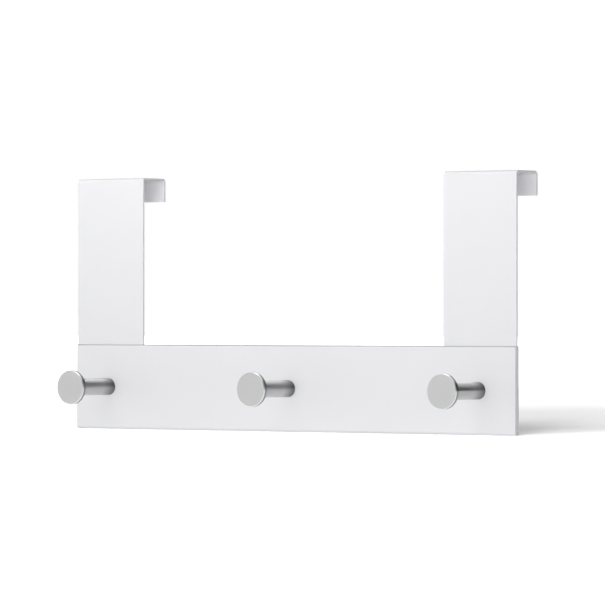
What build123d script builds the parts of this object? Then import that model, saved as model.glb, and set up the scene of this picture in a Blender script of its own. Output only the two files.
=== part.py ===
"""Over door hook: a folded rail with two bent straps over the door and three turned pegs.

Millimetres. +Z is up and +Y points from the pegs to the door. The origin is the front edge of the door's top,
midway between the straps: the rail's back lies on Y = 0 and the straps rest on the door at Z = 0.
"""
import os
from math import radians, tan

from build123d import *

# Rail: one sheet folded double, with the fold at the bottom
rail_length = 350.0
rail_height = 56.0
rail_sheet = 1.2
rim_break = 0.6

# Straps: a strip at each end of the rail, bent over the door
strap_sheet = 1.5
strap_width = 55.0
strap_play = 0.05
overall_height = 166.0
door_gap = 20.0
lip_height = 15.5
bend_radius = 1.0

# Break of the sheets' cut edges
edge_break = 0.2

# Pegs: turned, with a disc head and a spigot through the rail
peg_reach = 41.5
head_diameter = 22.5
head_thickness = 3.0
head_break = 0.5
shank_diameter = 11.0
shank_break = 0.8
spigot_diameter = 7.0
spigot_play = 0.1

# Screws: countersunk, from behind into the spigots
screw_diameter = 4.0
screw_length = 12.0
screw_play = 0.1
screw_head_diameter = 7.6
screw_recess = 0.05
countersink_angle = 90
tap_spare = 2.0
drive_width = 0.9
drive_span = 4.0
drive_depth = 1.1

# Places that follow from the sizes above
fold_gap = strap_sheet + 2 * strap_play
rail_depth = fold_gap + 2 * rail_sheet
fold_radius = rail_depth / 2
rail_bottom = strap_sheet - overall_height
rail_top = rail_bottom + rail_height
strap_back = -(rail_sheet + strap_play)
tongue_end = rail_bottom + fold_radius
lip_end = strap_sheet - lip_height
strap_centre = (rail_length - strap_width) / 2
peg_height = rail_bottom + rail_height / 2
spigot_length = rail_sheet + fold_gap
spigot_hole_radius = spigot_diameter / 2 + spigot_play
screw_hole_radius = screw_diameter / 2 + screw_play
countersink_radius = screw_head_diameter / 2 + screw_play
screw_cone = (screw_head_diameter - screw_diameter) / 2 / tan(radians(countersink_angle / 2))
screw_way = screw_length + tap_spare

sides = {"left": -1, "middle": 0, "right": 1}

os.makedirs("parts", exist_ok=True)


def behind(x, y):
    """Plane at peg height that faces the door, so that a hole runs from it towards the pegs."""
    return Plane(origin=(x, y, peg_height), x_dir=(1, 0, 0), z_dir=(0, 1, 0))


def turning(x, y):
    """Plane of a turned profile: local x is the radius and local y runs forward from the rail."""
    return Plane(origin=(x, y, peg_height), x_dir=(0, 0, 1), z_dir=(1, 0, 0))


# Rail: the section is drawn along its outer face and thickened inwards
with BuildPart() as rail:
    with BuildSketch(Plane.YZ.offset(-rail_length / 2)) as section:
        with BuildLine():
            back_leaf = Line((0, rail_top), (0, rail_bottom + fold_radius))
            fold = TangentArc(back_leaf @ 1, (-rail_depth, rail_bottom + fold_radius), tangent=back_leaf % 1)
            Line(fold @ 1, (-rail_depth, rail_top))
            offset(amount=rail_sheet, side=Side.RIGHT)
        make_face()
        front_rim = section.vertices().group_by(Axis.X)[0].sort_by(Axis.Y)[-1]
        chamfer(front_rim, rim_break)
    extrude(amount=rail_length)
    chamfer(rail.edges(), edge_break)
    for side in sides.values():
        x = side * strap_centre
        with Locations(behind(x, 0)):
            CounterSinkHole(screw_hole_radius, countersink_radius, screw_way, countersink_angle)
        with Locations(behind(x, -rail_depth + rail_sheet)):
            Hole(spigot_hole_radius, rail_sheet)
rail.part.label = "rail"
export_step(rail.part, "parts/rail.step")

# Straps: the section is drawn along the face that meets the door and thickened outwards
for name in ("left", "right"):
    x = sides[name] * strap_centre
    with BuildPart() as strap:
        with BuildSketch(Plane.YZ.offset(x - strap_width / 2)):
            with BuildLine():
                FilletPolyline(
                    (strap_back, tongue_end),
                    (strap_back, 0),
                    (door_gap, 0),
                    (door_gap, lip_end),
                    radius=bend_radius,
                )
                offset(amount=strap_sheet, side=Side.LEFT)
            make_face()
        extrude(amount=strap_width)
        cut_ends = strap.edges().filter_by(Axis.X).group_by(Axis.Z)[:2]
        chamfer(strap.edges().filter_by(Axis.X, reverse=True) + cut_ends[0] + cut_ends[1], edge_break)
        with Locations(behind(x, strap_back)):
            Hole(spigot_hole_radius, strap_sheet)
    strap.part.label = f"{name}_strap"
    export_step(strap.part, f"parts/{name}_strap.step")

for name, side in sides.items():
    x = side * strap_centre

    # Peg: disc head, shank that shoulders on the rail, spigot that ends on the rail's back leaf
    with BuildPart() as peg:
        with BuildSketch(turning(x, -rail_depth)):
            with BuildLine():
                Polyline(
                    (0, peg_reach),
                    (head_diameter / 2, peg_reach),
                    (head_diameter / 2, peg_reach - head_thickness),
                    (shank_diameter / 2, peg_reach - head_thickness),
                    (shank_diameter / 2, 0),
                    (spigot_diameter / 2, 0),
                    (spigot_diameter / 2, -spigot_length),
                    (0, -spigot_length),
                    close=True,
                )
            make_face()
        revolve(axis=Axis((x, 0, peg_height), (0, 1, 0)))
        *_, shank_rims, head_rims = peg.edges().filter_by(GeomType.CIRCLE).group_by(SortBy.RADIUS)
        chamfer(head_rims, head_break)
        chamfer(shank_rims.sort_by(Axis.Y)[-1], shank_break)
        with Locations(behind(x, 0)):
            CounterSinkHole(screw_hole_radius, countersink_radius, screw_way, countersink_angle)
    peg.part.label = f"{name}_peg"
    export_step(peg.part, f"parts/{name}_peg.step")

    # Screw: countersunk head flush with the rail's back, cross drive, plain shank
    with BuildPart() as screw:
        with BuildSketch(turning(x, 0)):
            with BuildLine():
                Polyline(
                    (0, screw_recess),
                    (screw_head_diameter / 2, screw_recess),
                    (screw_diameter / 2, screw_recess + screw_cone),
                    (screw_diameter / 2, screw_length),
                    (0, screw_length),
                    close=True,
                )
            make_face()
        revolve(axis=Axis((x, 0, peg_height), (0, 1, 0)))
        with BuildSketch(behind(x, -screw_recess)):
            Rectangle(drive_span, drive_width)
            Rectangle(drive_width, drive_span)
        extrude(amount=-drive_depth, mode=Mode.SUBTRACT)
    screw.part.label = f"{name}_screw"
    export_step(screw.part, f"parts/{name}_screw.step")
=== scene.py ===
"""Over door hook: finishes, studio and camera for a white rail with straps and turned metal pegs."""

from math import cos, radians, sin

import bpy
from bpy.props import FloatProperty, FloatVectorProperty, PointerProperty
from bpy.types import Operator, Panel, PropertyGroup
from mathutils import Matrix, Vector


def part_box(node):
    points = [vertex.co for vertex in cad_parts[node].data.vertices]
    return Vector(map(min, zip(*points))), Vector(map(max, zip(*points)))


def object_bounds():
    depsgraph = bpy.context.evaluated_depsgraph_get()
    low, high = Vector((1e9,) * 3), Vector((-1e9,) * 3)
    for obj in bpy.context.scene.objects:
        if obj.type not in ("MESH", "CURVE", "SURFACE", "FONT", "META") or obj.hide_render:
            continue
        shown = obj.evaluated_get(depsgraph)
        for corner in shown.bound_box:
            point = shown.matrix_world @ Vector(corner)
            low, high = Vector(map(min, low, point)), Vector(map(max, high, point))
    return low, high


bl_info = {
    "name": "Over door hook",
    "version": (1, 0, 0),
    "blender": (4, 5, 0),
    "location": "3D View > Sidebar > Door hook",
    "description": "Coats the sheets, finishes the pegs and screws, and sets up the studio",
    "category": "Object",
}

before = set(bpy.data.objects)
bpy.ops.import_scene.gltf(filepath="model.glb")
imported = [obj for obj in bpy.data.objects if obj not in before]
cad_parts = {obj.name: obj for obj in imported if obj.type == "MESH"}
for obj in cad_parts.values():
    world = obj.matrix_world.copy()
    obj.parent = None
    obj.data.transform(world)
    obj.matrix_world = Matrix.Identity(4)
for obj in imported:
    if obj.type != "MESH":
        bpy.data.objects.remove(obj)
CAD_LOW, CAD_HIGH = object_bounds()

STRAPS = ("left_strap", "right_strap")
PEGS = ("left_peg", "middle_peg", "right_peg")
SCREWS = ("left_screw", "middle_screw", "right_screw")

IMAGE_WIDTH = 605
SENSOR_WIDTH = 36.0
CAMERA_CLIP_END = 100

# Values between which noise mostly stays.
NOISE_LOW, NOISE_HIGH = 0.3, 0.7
FINE_DETAIL, FINE_ROUGHNESS = 3, 0.55
SLOW_DETAIL = 2
# Widths of the slow drift, as multiples of the peel size and of a turning mark.
PEELS_PER_DRIFT, MARKS_PER_DRIFT = 25, 12
# Shares by which tone and roughness drift.
COATING_ROUGHNESS_DRIFT = 0.08
HEAD_TONE_DRIFT, PEG_ROUGHNESS_DRIFT = 0.06, 0.1
SCREW_TONE_DRIFT, SCREW_ROUGHNESS_DRIFT = 0.1, 0.15
# Half widths of the blends at the lower edge of the painted shade on the rail's rim and at a peg's edges, as
# shares of their depth.
RIM_BLEND, PEG_BLEND = 0.1, 0.2
# Gloss on a peg's face runs along X, and on its side a quarter turn from round about.
FACE_TANGENT = (1, 0, 0)
QUARTER_TURN = 0.25
# Factors that leave out the part along Y, which is the axis of the pegs and screws.
ACROSS_Y = (1, 0, 1)

# Distances from the middle of the floor between which it goes from lit to glowing.
FLOOR_LIT, FLOOR_GLOWING = 0.5, 2.5
# Upward part of a direction at which the light is that from above.
CEILING_START = 0.7
# Share of the dark strip's half width that is fully dark.
DARK_CORE = 1 / 3


def middle(piece):
    """Centre of a piece's box."""
    low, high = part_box(piece)
    return (low + high) / 2


class CoatingSettings(PropertyGroup):
    """White coating of the rail and the straps."""

    colour: FloatVectorProperty(
        name="Colour", description="Colour of the coating", subtype="COLOR",
        size=4, min=0, max=1, default=(0.84, 0.84, 0.865, 1),
    )
    roughness: FloatProperty(
        name="Roughness", description="Mean roughness of the coating", subtype="FACTOR",
        min=0, max=1, default=0.42,
    )
    peel_size: FloatProperty(
        name="Peel size", description="Width of the coating's fine waves", unit="LENGTH", default=0.0011,
    )
    peel_depth: FloatProperty(
        name="Peel depth", description="Height of the coating's fine waves",
        unit="LENGTH", default=0.000012,
    )
    mottle: FloatProperty(
        name="Mottle", description="Share by which the colour drifts over the sheet", subtype="FACTOR",
        min=0, max=1, default=0.02,
    )
    # Painted shade: a darker band along the rail's cut upper edge stands in for the shade on the edge that
    # faces up.
    painted_rim_shade: FloatVectorProperty(
        name="Rim colour", description="Colour of the painted shade on the rail's cut upper edge",
        subtype="COLOR", size=4, min=0, max=1, default=(0.46, 0.46, 0.475, 1),
    )
    # Depth below the rail's top to which the painted shade reaches.
    rim_shade_depth: FloatProperty(
        name="Rim depth", description="Depth below the rail's top at which its painted shade ends",
        unit="LENGTH", default=0.0007,
    )


class PegSettings(PropertyGroup):
    """Turned metal of the pegs."""

    face_colour: FloatVectorProperty(
        name="Head colour", description="Colour of the satin head", subtype="COLOR",
        size=4, min=0, max=1, default=(0.74, 0.74, 0.745, 1),
    )
    # Painted highlight: the bevel round the head is brighter than its face, standing in for the highlight on
    # its edge.
    painted_bevel_highlight: FloatVectorProperty(
        name="Bevel colour", description="Colour of the bright bevel round the head", subtype="COLOR",
        size=4, min=0, max=1, default=(0.95, 0.95, 0.955, 1),
    )
    # Painted shade: the head's rim and back are darker than its face, standing in for the dark reflections
    # there.
    painted_rim_shade: FloatVectorProperty(
        name="Rim colour", description="Colour of the head's rim and back", subtype="COLOR",
        size=4, min=0, max=1, default=(0.32, 0.32, 0.325, 1),
    )
    shank_colour: FloatVectorProperty(
        name="Shank colour", description="Colour of the polished shank", subtype="COLOR",
        size=4, min=0, max=1, default=(0.53, 0.53, 0.535, 1),
    )
    # Painted shade: the shank darkens towards its base, standing in for the contact shade where it meets the
    # rail.
    painted_base_shade: FloatVectorProperty(
        name="Base colour", description="Colour of the shank where it meets the rail", subtype="COLOR",
        size=4, min=0, max=1, default=(0.12, 0.12, 0.125, 1),
    )
    # Length of the painted shade along the shank.
    base_shade_reach: FloatProperty(
        name="Base reach", description="Length over which the shank darkens to its base", unit="LENGTH",
        default=0.012,
    )
    face_roughness: FloatProperty(
        name="Head roughness", description="Roughness of the satin head", subtype="FACTOR",
        min=0, max=1, default=0.45,
    )
    shank_roughness: FloatProperty(
        name="Shank roughness", description="Roughness of the polished shank", subtype="FACTOR",
        min=0, max=1, default=0.42,
    )
    grain: FloatProperty(
        name="Grain", description="How far the turning marks spread the gloss along the peg",
        subtype="FACTOR", min=0, max=1, default=1,
    )
    face_edge: FloatProperty(
        name="Face edge", description="Depth behind the head's face at which its satin ends",
        unit="LENGTH", default=0.00004,
    )
    bevel_edge: FloatProperty(
        name="Bevel edge", description="Depth behind the head's face at which its bevel ends",
        unit="LENGTH", default=0.0005,
    )
    head_edge: FloatProperty(
        name="Head edge", description="Depth behind the head's face at which the shank starts",
        unit="LENGTH", default=0.0034,
    )
    mark_width: FloatProperty(
        name="Mark width", description="Width of one turning mark", unit="LENGTH", default=0.00012,
    )
    mark_depth: FloatProperty(
        name="Mark depth", description="Depth of one turning mark", unit="LENGTH", default=0.0000015,
    )


class ScrewSettings(PropertyGroup):
    """Plated metal of the screws."""

    colour: FloatVectorProperty(
        name="Colour", description="Colour of the plating", subtype="COLOR",
        size=4, min=0, max=1, default=(0.56, 0.56, 0.57, 1),
    )
    roughness: FloatProperty(
        name="Roughness", description="Roughness of the plating", subtype="FACTOR",
        min=0, max=1, default=0.34,
    )
    mark_width: FloatProperty(
        name="Mark width", description="Width of one turning mark", unit="LENGTH", default=0.0001,
    )
    mark_depth: FloatProperty(
        name="Mark depth", description="Depth of one turning mark", unit="LENGTH", default=0.000002,
    )


class StudioSettings(PropertyGroup):
    """Floor, lamps and camera."""

    floor_size: FloatProperty(
        name="Floor size", description="Side of the floor", unit="LENGTH", default=24,
    )
    floor_colour: FloatVectorProperty(
        name="Floor colour", description="Colour of the floor", subtype="COLOR",
        size=4, min=0, max=1, default=(0.62, 0.62, 0.62, 1),
    )
    bounce_colour: FloatVectorProperty(
        name="Bounce colour", description="Colour of the floor for the light it sends back",
        subtype="COLOR", size=4, min=0, max=1, default=(0.4, 0.4, 0.4, 1),
    )
    floor_glow: FloatProperty(
        name="Floor glow", description="What the lit floor near the object lacks to look white",
        default=0.4,
    )
    near_lamp: FloatProperty(
        name="Near lamp", description="Strength of the near floor lamp, for the short shadow",
        default=7.9,
    )
    near_turn: FloatProperty(
        name="Near turn", description="Turn of the near floor lamp to the right of the front",
        subtype="ANGLE", default=radians(10),
    )
    near_rise: FloatProperty(
        name="Near rise", description="Angle of the near floor lamp above the horizon", subtype="ANGLE",
        default=radians(9),
    )
    near_width: FloatProperty(
        name="Near width", description="Angle that the near floor lamp covers", subtype="ANGLE",
        default=radians(16),
    )
    far_lamp: FloatProperty(
        name="Far lamp", description="Strength of the far floor lamp, for the long shadow", default=16.2,
    )
    far_turn: FloatProperty(
        name="Far turn", description="Turn of the far floor lamp to the right of the front",
        subtype="ANGLE", default=radians(26),
    )
    far_rise: FloatProperty(
        name="Far rise", description="Angle of the far floor lamp above the horizon", subtype="ANGLE",
        default=radians(5),
    )
    far_width: FloatProperty(
        name="Far width", description="Angle that the far floor lamp covers", subtype="ANGLE",
        default=radians(14),
    )
    ambient: FloatProperty(
        name="Ambient", description="Strength of the light from the sides", default=0.62,
    )
    ceiling: FloatProperty(
        name="Ceiling", description="Strength of the light from above", default=0.05,
    )
    right_side: FloatProperty(
        name="Right side", description="Share of the light from the sides that is left on the right",
        default=0.25,
    )
    dark_side: FloatProperty(
        name="Dark side", description="Strength of the surround in its dark strip, on the right",
        default=0.0,
    )
    dark_rise: FloatProperty(
        name="Dark rise", description="Angle of the dark strip above the horizon", subtype="ANGLE",
        default=radians(16),
    )
    dark_width: FloatProperty(
        name="Dark width", description="Angle from the middle of the dark strip to its edge",
        subtype="ANGLE", default=radians(52),
    )
    front_power: FloatProperty(
        name="Front power", description="Power of the soft front lamp", unit="POWER", default=92,
    )
    front_width: FloatProperty(
        name="Front width", description="Width of the soft front lamp", unit="LENGTH", default=4.2,
    )
    front_height: FloatProperty(
        name="Front height", description="Height of the soft front lamp", unit="LENGTH", default=0.9,
    )
    front_distance: FloatProperty(
        name="Front distance", description="Distance of the front lamp", unit="LENGTH", default=4,
    )
    front_turn: FloatProperty(
        name="Front turn", description="Turn of the front lamp to the right of the front",
        subtype="ANGLE", default=radians(31),
    )
    front_rise: FloatProperty(
        name="Front rise", description="Angle of the front lamp above the horizon", subtype="ANGLE",
        default=radians(3),
    )
    top_power: FloatProperty(
        name="Top power", description="Power of the weak lamp whose gloss shows on the pegs",
        unit="POWER", default=4,
    )
    top_size: FloatProperty(
        name="Top size", description="Side of the weak lamp above", unit="LENGTH", default=0.6,
    )
    top_distance: FloatProperty(
        name="Top distance", description="Distance of the weak lamp above", unit="LENGTH", default=1.3,
    )
    top_turn: FloatProperty(
        name="Top turn", description="Turn of the weak lamp to the right of the front", subtype="ANGLE",
        default=radians(-20),
    )
    top_rise: FloatProperty(
        name="Top rise", description="Angle of the weak lamp above the horizon", subtype="ANGLE",
        default=radians(65),
    )
    strap_power: FloatProperty(
        name="Strap power", description="Power of the close lamp in front of and above the straps",
        unit="POWER", default=1.25,
    )
    strap_width: FloatProperty(
        name="Strap lamp width", description="Width of the close lamp", unit="LENGTH", default=0.6,
    )
    strap_depth: FloatProperty(
        name="Strap lamp depth", description="Depth of the close lamp", unit="LENGTH", default=0.12,
    )
    strap_distance: FloatProperty(
        name="Strap lamp distance", description="Distance of the close lamp", unit="LENGTH", default=0.5,
    )
    strap_turn: FloatProperty(
        name="Strap lamp turn", description="Turn of the close lamp to the right of the front",
        subtype="ANGLE", default=radians(-14),
    )
    strap_rise: FloatProperty(
        name="Strap lamp rise", description="Angle of the close lamp above the horizon", subtype="ANGLE",
        default=radians(50),
    )
    back_power: FloatProperty(
        name="Back power", description="Power of the soft lamp behind the object",
        unit="POWER", default=124,
    )
    back_size: FloatProperty(
        name="Back size", description="Side of the soft lamp behind", unit="LENGTH", default=2.5,
    )
    back_distance: FloatProperty(
        name="Back distance", description="Distance of the lamp behind", unit="LENGTH", default=4,
    )
    back_turn: FloatProperty(
        name="Back turn", description="Turn of the lamp behind to the right of the front",
        subtype="ANGLE", default=radians(190),
    )
    back_rise: FloatProperty(
        name="Back rise", description="Angle of the lamp behind above the horizon", subtype="ANGLE",
        default=radians(17),
    )
    camera_turn: FloatProperty(
        name="Camera turn", description="Turn of the camera to the right of the front", subtype="ANGLE",
        default=radians(36),
    )
    camera_rise: FloatProperty(
        name="Camera rise", description="Angle of the camera above the horizon", subtype="ANGLE",
        default=radians(-0.17),
    )
    camera_distance: FloatProperty(
        name="Camera distance", description="Distance from the camera to its aim",
        unit="LENGTH", default=3.045,
    )
    camera_focus: FloatProperty(
        name="Focal length in pixels", description="Focal length over the width of one image pixel",
        default=4727,
    )
    aim: FloatVectorProperty(
        name="Aim", description="Point that the camera looks at", subtype="XYZ", unit="LENGTH",
        size=3, default=(0.0099, -0.00255, -0.081),
    )


def new_material(name):
    """A material with its own node tree: the material, the tree and its shader."""
    material = bpy.data.materials.new(name)
    material.use_nodes = True
    tree = material.node_tree
    return material, tree, tree.nodes["Principled BSDF"]


def node(tree, kind, x, y, **settings):
    """One node at a place of the editor, with settings for its own options."""
    made = tree.nodes.new(kind)
    made.location = (x, y)
    for option, value in settings.items():
        setattr(made, option, value)
    return made


def feed(tree, socket, value):
    """Links an output to a socket, or sets the socket to a plain value."""
    if isinstance(value, bpy.types.NodeSocket):
        tree.links.new(value, socket)
    else:
        socket.default_value = value


def blend(tree, factor, first, second, x, y, kind="RGBA"):
    """Goes from the first colour, number or vector to the second with the factor."""
    mix = node(tree, "ShaderNodeMix", x, y, data_type=kind)
    feed(tree, mix.inputs["Factor"], factor)
    feed(tree, mix.inputs["A"], first)
    feed(tree, mix.inputs["B"], second)
    return mix.outputs["Result"]


def ramp(tree, source, start, end, x, y, low=0, high=1, shape="SMOOTHSTEP"):
    """Goes from low to high as the source goes from start to end."""
    made = node(tree, "ShaderNodeMapRange", x, y, interpolation_type=shape)
    for socket, value in (("From Min", start), ("From Max", end), ("To Min", low), ("To Max", high)):
        made.inputs[socket].default_value = value
    feed(tree, made.inputs["Value"], source)
    return made.outputs["Result"]


def number_math(tree, operation, first, second, x, y):
    """Result of an operation on two numbers."""
    made = node(tree, "ShaderNodeMath", x, y, operation=operation)
    feed(tree, made.inputs[0], first)
    feed(tree, made.inputs[1], second)
    return made.outputs["Value"]


def vector_math(tree, operation, first, second, x, y):
    """Node of an operation on two vectors."""
    made = node(tree, "ShaderNodeVectorMath", x, y, operation=operation)
    feed(tree, made.inputs[0], first)
    feed(tree, made.inputs[1], second)
    return made


def vector_length(tree, vector, x, y):
    """Length of a vector."""
    made = node(tree, "ShaderNodeVectorMath", x, y, operation="LENGTH")
    feed(tree, made.inputs[0], vector)
    return made.outputs["Value"]


def part_along(tree, vector, axis, x, y):
    """Part of a vector along X, Y or Z."""
    split = node(tree, "ShaderNodeSeparateXYZ", x, y)
    feed(tree, split.inputs["Vector"], vector)
    return split.outputs[axis]


def new_group(name, inputs, outputs):
    """An empty node group with named sockets, and its two end nodes."""
    group = bpy.data.node_groups.new(name, "ShaderNodeTree")
    for socket, kind in inputs.items():
        group.interface.new_socket(socket, in_out="INPUT", socket_type=kind)
    for socket, kind in outputs.items():
        group.interface.new_socket(socket, in_out="OUTPUT", socket_type=kind)
    return group, node(group, "NodeGroupInput", -900, 0), node(group, "NodeGroupOutput", 500, 0)


def relief_group():
    """Fine relief of a finish: a height for its bump and a slow drift for its tone."""
    group, start, end = new_group(
        "Fine relief",
        {"Vector": "NodeSocketVector", "Frequency": "NodeSocketFloat", "Drift Frequency": "NodeSocketFloat"},
        {"Height": "NodeSocketFloat", "Drift": "NodeSocketFloat"},
    )
    fine = node(group, "ShaderNodeTexNoise", -400, 150)
    fine.inputs["Detail"].default_value = FINE_DETAIL
    fine.inputs["Roughness"].default_value = FINE_ROUGHNESS
    slow = node(group, "ShaderNodeTexNoise", -400, -200)
    slow.inputs["Detail"].default_value = SLOW_DETAIL
    for noise, frequency, result in ((fine, "Frequency", "Height"), (slow, "Drift Frequency", "Drift")):
        group.links.new(start.outputs["Vector"], noise.inputs["Vector"])
        group.links.new(start.outputs[frequency], noise.inputs["Scale"])
        group.links.new(noise.outputs["Fac"], end.inputs[result])
    return group


def turning_group():
    """Place on a turned piece: distance from its axis, and distance along it, as one vector."""
    group, start, end = new_group(
        "Turned place",
        {"Vector": "NodeSocketVector", "Axis": "NodeSocketVector"},
        {"Rings": "NodeSocketVector"},
    )
    offset = vector_math(group, "SUBTRACT", start.outputs["Vector"], start.outputs["Axis"], -700, 0)
    flat = vector_math(group, "MULTIPLY", offset.outputs["Vector"], ACROSS_Y, -520, 120)
    rings = node(group, "ShaderNodeCombineXYZ", -100, 0)
    feed(group, rings.inputs["X"], vector_length(group, flat.outputs["Vector"], -340, 120))
    feed(group, rings.inputs["Y"], part_along(group, offset.outputs["Vector"], "Y", -520, -120))
    feed(group, end.inputs["Rings"], rings.outputs["Vector"])
    return group


def place_group(tree, name, maker, x, y):
    """Sets a node group into a material's tree. The group is made the first time it is asked for."""
    made = node(tree, "ShaderNodeGroup", x, y)
    made.node_tree = bpy.data.node_groups.get(name) or maker()
    return made


def place_relief(tree, vector, size, sizes_per_drift, x, y):
    """Fine relief of a given size set into a material's tree."""
    relief = place_group(tree, "Fine relief", relief_group, x, y)
    relief.inputs["Frequency"].default_value = 1 / size
    relief.inputs["Drift Frequency"].default_value = 1 / (sizes_per_drift * size)
    feed(tree, relief.inputs["Vector"], vector)
    return relief


def drift_about(tree, value, spread, source, x, y):
    """A value that drifts by a share of itself up and down with noise."""
    return ramp(
        tree, source, NOISE_LOW, NOISE_HIGH, x, y,
        low=value * (1 - spread), high=value * (1 + spread), shape="LINEAR",
    )


def drifting_colour(tree, colour, share, source, x, y):
    """A colour that darkens by a share of itself where the source goes down."""
    darker = [channel * (1 - share) for channel in colour[:3]] + [1]
    return blend(tree, source, darker, colour, x, y)


def bump(tree, height, depth, x, y):
    """Bump of a given depth in metres."""
    made = node(tree, "ShaderNodeBump", x, y)
    made.inputs["Strength"].default_value = 1
    made.inputs["Distance"].default_value = depth
    feed(tree, made.inputs["Height"], height)
    return made.outputs["Normal"]


def coating_material(name, coat, top=None):
    """Satin white coating with fine waves and a drift of tone, and painted shade above a height where one is
    given.
    """
    material, tree, shader = new_material(name)
    place = node(tree, "ShaderNodeTexCoord", -1100, 0).outputs["Object"]
    relief = place_relief(tree, place, coat.peel_size, PEELS_PER_DRIFT, -850, 0)
    drift = relief.outputs["Drift"]
    colour = drifting_colour(tree, coat.colour, coat.mottle, drift, -450, 200)
    # Painted shade along the rail's upper edge, from its top down to the rim depth.
    if top is not None:
        rim = ramp(
            tree, part_along(tree, place, "Z", -850, 450),
            top - (1 + RIM_BLEND) * coat.rim_shade_depth, top - (1 - RIM_BLEND) * coat.rim_shade_depth, -650, 450,
        )
        colour = blend(tree, rim, colour, coat.painted_rim_shade, -250, 300)
    feed(tree, shader.inputs["Base Color"], colour)
    feed(tree, shader.inputs["Roughness"],
         drift_about(tree, coat.roughness, COATING_ROUGHNESS_DRIFT, drift, -450, -50))
    feed(tree, shader.inputs["Normal"], bump(tree, relief.outputs["Height"], coat.peel_depth, -450, -350))
    return material


def turned_material(piece, axis, mark_width, mark_depth):
    """Metal with turning marks about an axis along Y: material, tree, shader, place and drift."""
    material, tree, shader = new_material(piece.replace("_", " ").capitalize() + " metal")
    shader.inputs["Metallic"].default_value = 1
    place = node(tree, "ShaderNodeTexCoord", -1500, 0).outputs["Object"]
    turned = place_group(tree, "Turned place", turning_group, -1250, 0)
    turned.inputs["Axis"].default_value = axis
    feed(tree, turned.inputs["Vector"], place)
    relief = place_relief(tree, turned.outputs["Rings"], mark_width, MARKS_PER_DRIFT, -1000, 0)
    feed(tree, shader.inputs["Normal"], bump(tree, relief.outputs["Height"], mark_depth, -450, -350))
    return material, tree, shader, place, relief.outputs["Drift"]


def past(tree, along, front, depth, x, y):
    """1 beyond a depth behind the front and 0 before it, with a short blend."""
    return ramp(tree, along, front + (1 - PEG_BLEND) * depth, front + (1 + PEG_BLEND) * depth, x, y)


def peg_material(piece, peg):
    """Turned metal of one peg: satin on its head, polished on its shank, with a painted highlight on the
    head's bevel, painted shade on the head's rim and back, and painted shade on the shank towards its base.
    """
    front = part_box(piece)[0].y
    rail_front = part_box("rail")[0].y
    axis = middle(piece)
    axis.y = front
    material, tree, shader, place, drift = turned_material(piece, axis, peg.mark_width, peg.mark_depth)
    along = part_along(tree, place, "Y", -1000, 600)
    off_face = past(tree, along, front, peg.face_edge, -800, 350)
    off_bevel = past(tree, along, front, peg.bevel_edge, -800, 600)
    off_head = past(tree, along, front, peg.head_edge, -800, 850)
    # Painted shade on the shank over the last stretch before the rail.
    toward_base_shade = ramp(tree, along, rail_front - peg.base_shade_reach, rail_front, -800, 1100, shape="LINEAR")

    shank = blend(tree, toward_base_shade, peg.shank_colour, peg.painted_base_shade, -600, 1100)
    # The head's rim and back take the painted shade.
    behind = blend(tree, off_head, peg.painted_rim_shade, shank, -600, 850)
    # The head's bevel takes the painted highlight.
    side = blend(tree, off_bevel, peg.painted_bevel_highlight, behind, -450, 600)
    face = drifting_colour(tree, peg.face_colour, HEAD_TONE_DRIFT, drift, -600, 450)
    feed(tree, shader.inputs["Base Color"], blend(tree, off_face, face, side, -250, 350))

    face_roughness = drift_about(tree, peg.face_roughness, PEG_ROUGHNESS_DRIFT, drift, -600, 50)
    side_roughness = drift_about(tree, peg.shank_roughness, PEG_ROUGHNESS_DRIFT, drift, -600, -150)
    feed(tree, shader.inputs["Roughness"],
         blend(tree, off_face, face_roughness, side_roughness, -350, 100, kind="FLOAT"))

    round_about = node(tree, "ShaderNodeTangent", -600, -550, direction_type="RADIAL", axis="Y")
    feed(tree, shader.inputs["Tangent"],
         blend(tree, off_face, FACE_TANGENT, round_about.outputs["Tangent"], -350, -550, kind="VECTOR"))
    shader.inputs["Anisotropic"].default_value = peg.grain
    shader.inputs["Anisotropic Rotation"].default_value = QUARTER_TURN
    return material


def screw_material(piece, screw):
    """Plated metal of one screw."""
    material, tree, shader, _, drift = turned_material(
        piece, middle(piece), screw.mark_width, screw.mark_depth
    )
    feed(tree, shader.inputs["Base Color"],
         drifting_colour(tree, screw.colour, SCREW_TONE_DRIFT, drift, -450, 250))
    feed(tree, shader.inputs["Roughness"],
         drift_about(tree, screw.roughness, SCREW_ROUGHNESS_DRIFT, drift, -450, 0))
    return material


def dress(piece, material):
    """Gives a CAD node one material."""
    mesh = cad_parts[piece].data
    mesh.materials.clear()
    mesh.materials.append(material)


def mirrored_share(tree, path, x, y):
    """1 for what a reflection or clear glass sees, and 0 for light that falls on a surface."""
    return number_math(
        tree, "MAXIMUM", path.outputs["Is Glossy Ray"], path.outputs["Is Transmission Ray"], x, y
    )


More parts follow.
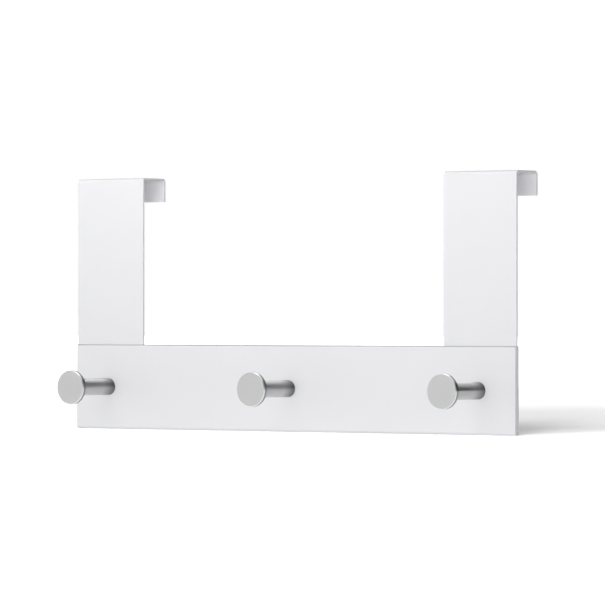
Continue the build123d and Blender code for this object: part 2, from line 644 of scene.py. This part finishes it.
def floor_material(studio):
    """Pale floor that looks white where it is lit and keeps the shadow."""
    material, tree, _ = new_material("Studio floor")
    tree.nodes.clear()
    path = node(tree, "ShaderNodeLightPath", -1000, 0)
    mirrored = mirrored_share(tree, path, -800, 0)
    seen = number_math(tree, "MAXIMUM", path.outputs["Is Camera Ray"], mirrored, -600, 0)
    place = node(tree, "ShaderNodeTexCoord", -1000, -300).outputs["Object"]
    reach = vector_length(tree, place, -800, -300)
    away = ramp(tree, reach, FLOOR_LIT, FLOOR_GLOWING, -600, -300, low=studio.floor_glow)
    pale = node(tree, "ShaderNodeBsdfDiffuse", 0, 200)
    feed(tree, pale.inputs["Color"], blend(tree, seen, studio.bounce_colour, studio.floor_colour, -300, 250))
    glow = node(tree, "ShaderNodeEmission", 0, -50)
    feed(tree, glow.inputs["Strength"], number_math(tree, "MULTIPLY", seen, away, -300, -100))
    both = node(tree, "ShaderNodeAddShader", 250, 100)
    feed(tree, both.inputs[0], pale.outputs["BSDF"])
    feed(tree, both.inputs[1], glow.outputs["Emission"])
    end = node(tree, "ShaderNodeOutputMaterial", 450, 100)
    feed(tree, end.inputs["Surface"], both.outputs["Shader"])
    return material


def dark_strip(tree, sky, studio):
    """Strength of what reflections see: white, with a dark strip along the right."""
    flat = vector_math(tree, "MULTIPLY", sky, ACROSS_Y, -1700, -300)
    unit = node(tree, "ShaderNodeVectorMath", -1500, -300, operation="NORMALIZE")
    feed(tree, unit.inputs[0], flat.outputs["Vector"])
    strip = (cos(studio.dark_rise), 0, sin(studio.dark_rise))
    nearness = vector_math(tree, "DOT_PRODUCT", unit.outputs["Vector"], strip, -1300, -300)
    return ramp(
        tree, nearness.outputs["Value"],
        cos(studio.dark_width), cos(studio.dark_width * DARK_CORE), -1100, -300,
        low=1, high=studio.dark_side,
    )


def soft_light(tree, sky, studio):
    """Strength of what lights the object: less from above and from the right."""
    rising = part_along(tree, sky, "Z", -1300, -600)
    dome = ramp(tree, rising, 0, CEILING_START, -1100, -600, low=studio.ambient, high=studio.ceiling)
    rightward = part_along(tree, sky, "X", -1300, -900)
    share = ramp(tree, rightward, 0, 1, -1100, -900, low=1, high=studio.right_side)
    return number_math(tree, "MULTIPLY", dome, share, -850, -600)


def studio_world(studio):
    """White surroundings, which light the object at a lower level than they show."""
    world = bpy.data.worlds.new("Studio")
    world.use_nodes = True
    tree = world.node_tree
    sky = node(tree, "ShaderNodeTexCoord", -1900, -300).outputs["Generated"]
    path = node(tree, "ShaderNodeLightPath", -1100, 100)
    mirrored = mirrored_share(tree, path, -850, 0)
    level = blend(
        tree, mirrored, soft_light(tree, sky, studio), dark_strip(tree, sky, studio), -500, 0, kind="FLOAT"
    )
    surround = tree.nodes["Background"]
    surround.inputs["Color"].default_value = (1, 1, 1, 1)
    feed(tree, surround.inputs["Strength"],
         number_math(tree, "MAXIMUM", path.outputs["Is Camera Ray"], level, -250, 0))
    return world


def direction(turn, rise):
    """Unit vector towards a point that is turned to the right of the front and raised above the horizon."""
    return Vector((sin(turn) * cos(rise), -cos(turn) * cos(rise), sin(rise)))


def facing(towards):
    """Turn of a lamp or camera that stands in a direction and looks back."""
    return towards.to_track_quat("Z", "Y").to_euler()


def link_group(name, things):
    """Collection of the things that a lamp lights, or that shade what it lights."""
    group = bpy.data.collections.new(name)
    for thing in things:
        group.objects.link(thing)
    return group


class HOOK_OT_coat_sheets(Operator):
    """Coat the rail and the straps"""

    bl_idname = "door_hook.coat_sheets"
    bl_label = "Coat rail and straps"

    def execute(self, context):
        coat = context.scene.hook_coating
        dress("rail", coating_material("Rail coating", coat, top=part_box("rail")[1].z))
        strap_coating = coating_material("Strap coating", coat)
        for name in STRAPS:
            dress(name, strap_coating)
        return {"FINISHED"}


class HOOK_OT_finish_pegs(Operator):
    """Give the pegs their turned finish"""

    bl_idname = "door_hook.finish_pegs"
    bl_label = "Finish pegs"

    def execute(self, context):
        for name in PEGS:
            dress(name, peg_material(name, context.scene.hook_pegs))
        return {"FINISHED"}


class HOOK_OT_finish_screws(Operator):
    """Give the screws their plated finish"""

    bl_idname = "door_hook.finish_screws"
    bl_label = "Finish screws"

    def execute(self, context):
        for name in SCREWS:
            dress(name, screw_material(name, context.scene.hook_screws))
        return {"FINISHED"}


class HOOK_OT_set_studio(Operator):
    """Lay the floor, set the lamps and the camera"""

    bl_idname = "door_hook.set_studio"
    bl_label = "Set studio"

    def execute(self, context):
        studio = context.scene.hook_studio
        context.scene.view_settings.view_transform = "Standard"
        context.scene.world = studio_world(studio)
        bpy.ops.object.select_all(action="DESELECT")
        aim = Vector(studio.aim)
        self.light_floor(studio, aim, self.lay_floor(studio))
        self.light_object(studio, aim)
        self.place_camera(context, studio, aim)
        return {"FINISHED"}

    def lay_floor(self, studio):
        """Pale floor that the object stands on."""
        bpy.ops.mesh.primitive_plane_add(size=studio.floor_size, location=(0, 0, CAD_LOW.z))
        floor = bpy.context.object
        floor.name = "studio_floor"
        floor.data.materials.append(floor_material(studio))
        return floor

    def light_floor(self, studio, aim, floor):
        """Two lamps for the floor alone, from the front, so that the object's shadow falls back on it."""
        floor_only = link_group("Lit by the floor lamps", [floor])
        for name, strength, turn, rise, width in (
            ("studio_near_lamp", studio.near_lamp, studio.near_turn, studio.near_rise, studio.near_width),
            ("studio_far_lamp", studio.far_lamp, studio.far_turn, studio.far_rise, studio.far_width),
        ):
            lamp = self.add_lamp("SUN", name, aim, turn, rise)
            lamp.data.energy = strength
            lamp.data.angle = width
            lamp.light_linking.receiver_collection = floor_only

    def light_object(self, studio, aim):
        """Soft lamps in front, above, close to the straps and behind."""
        object_only = link_group("Lit by the object lamps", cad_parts.values())
        sheets_only = link_group("Shade the rail", [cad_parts[name] for name in ("rail", *STRAPS)])
        front = self.add_lamp(
            "AREA", "studio_front", aim, studio.front_turn, studio.front_rise, studio.front_distance
        )
        self.soften(front, studio.front_power, studio.front_width, studio.front_height)
        front.visible_glossy = False
        front.light_linking.blocker_collection = sheets_only
        top = self.add_lamp("AREA", "studio_top", aim, studio.top_turn, studio.top_rise, studio.top_distance)
        self.soften(top, studio.top_power, studio.top_size, studio.top_size)
        top.visible_diffuse = False
        strap = self.add_lamp(
            "AREA", "studio_straps", aim, studio.strap_turn, studio.strap_rise, studio.strap_distance
        )
        self.soften(strap, studio.strap_power, studio.strap_width, studio.strap_depth)
        strap.visible_glossy = False
        strap.light_linking.receiver_collection = object_only
        strap.light_linking.blocker_collection = sheets_only
        back = self.add_lamp(
            "AREA", "studio_back", aim, studio.back_turn, studio.back_rise, studio.back_distance
        )
        self.soften(back, studio.back_power, studio.back_size, studio.back_size)
        back.visible_glossy = False
        back.light_linking.receiver_collection = object_only

    def add_lamp(self, kind, name, aim, turn, rise, distance=1):
        """Lamp that faces the aim. The distance of a sun lamp has no effect."""
        towards = direction(turn, rise)
        bpy.ops.object.light_add(type=kind, location=aim + towards * distance)
        lamp = bpy.context.object
        lamp.name = name
        lamp.rotation_euler = facing(towards)
        return lamp

    def soften(self, lamp, power, width, height):
        """Gives an area lamp its power and its sides."""
        lamp.data.shape = "RECTANGLE"
        lamp.data.size = width
        lamp.data.size_y = height
        lamp.data.energy = power

    def place_camera(self, context, studio, aim):
        """Camera at the photo's view."""
        towards = direction(studio.camera_turn, studio.camera_rise)
        bpy.ops.object.camera_add(location=aim + towards * studio.camera_distance)
        camera = bpy.context.object
        camera.name = "studio_camera"
        camera.data.sensor_width = SENSOR_WIDTH
        camera.data.lens = studio.camera_focus / IMAGE_WIDTH * SENSOR_WIDTH
        camera.data.clip_end = CAMERA_CLIP_END
        camera.rotation_euler = facing(towards)
        context.scene.camera = camera


class HOOK_PT_panel(Panel):
    """Settings and steps of the over door hook"""

    bl_label = "Over door hook"
    bl_space_type = "VIEW_3D"
    bl_region_type = "UI"
    bl_category = "Door hook"

    def draw(self, context):
        scene = context.scene
        steps = (
            (scene.hook_coating, HOOK_OT_coat_sheets),
            (scene.hook_pegs, HOOK_OT_finish_pegs),
            (scene.hook_screws, HOOK_OT_finish_screws),
            (scene.hook_studio, HOOK_OT_set_studio),
        )
        for settings, step in steps:
            box = self.layout.box()
            for name in settings.__annotations__:
                box.prop(settings, name)
            box.operator(step.bl_idname)


SETTINGS = {
    "hook_coating": CoatingSettings,
    "hook_pegs": PegSettings,
    "hook_screws": ScrewSettings,
    "hook_studio": StudioSettings,
}
CLASSES = (
    *SETTINGS.values(),
    HOOK_OT_coat_sheets,
    HOOK_OT_finish_pegs,
    HOOK_OT_finish_screws,
    HOOK_OT_set_studio,
    HOOK_PT_panel,
)


def register():
    """Registers the classes and hangs the settings on the scene."""
    for item in CLASSES:
        bpy.utils.register_class(item)
    for name, group in SETTINGS.items():
        setattr(bpy.types.Scene, name, PointerProperty(type=group))


def unregister():
    """Takes the settings off the scene and the classes out again."""
    for name in SETTINGS:
        delattr(bpy.types.Scene, name)
    for item in reversed(CLASSES):
        bpy.utils.unregister_class(item)


def main():
    """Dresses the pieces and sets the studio."""
    register()
    bpy.ops.door_hook.coat_sheets()
    bpy.ops.door_hook.finish_pegs()
    bpy.ops.door_hook.finish_screws()
    bpy.ops.door_hook.set_studio()


if __name__ == "__main__":
    main()
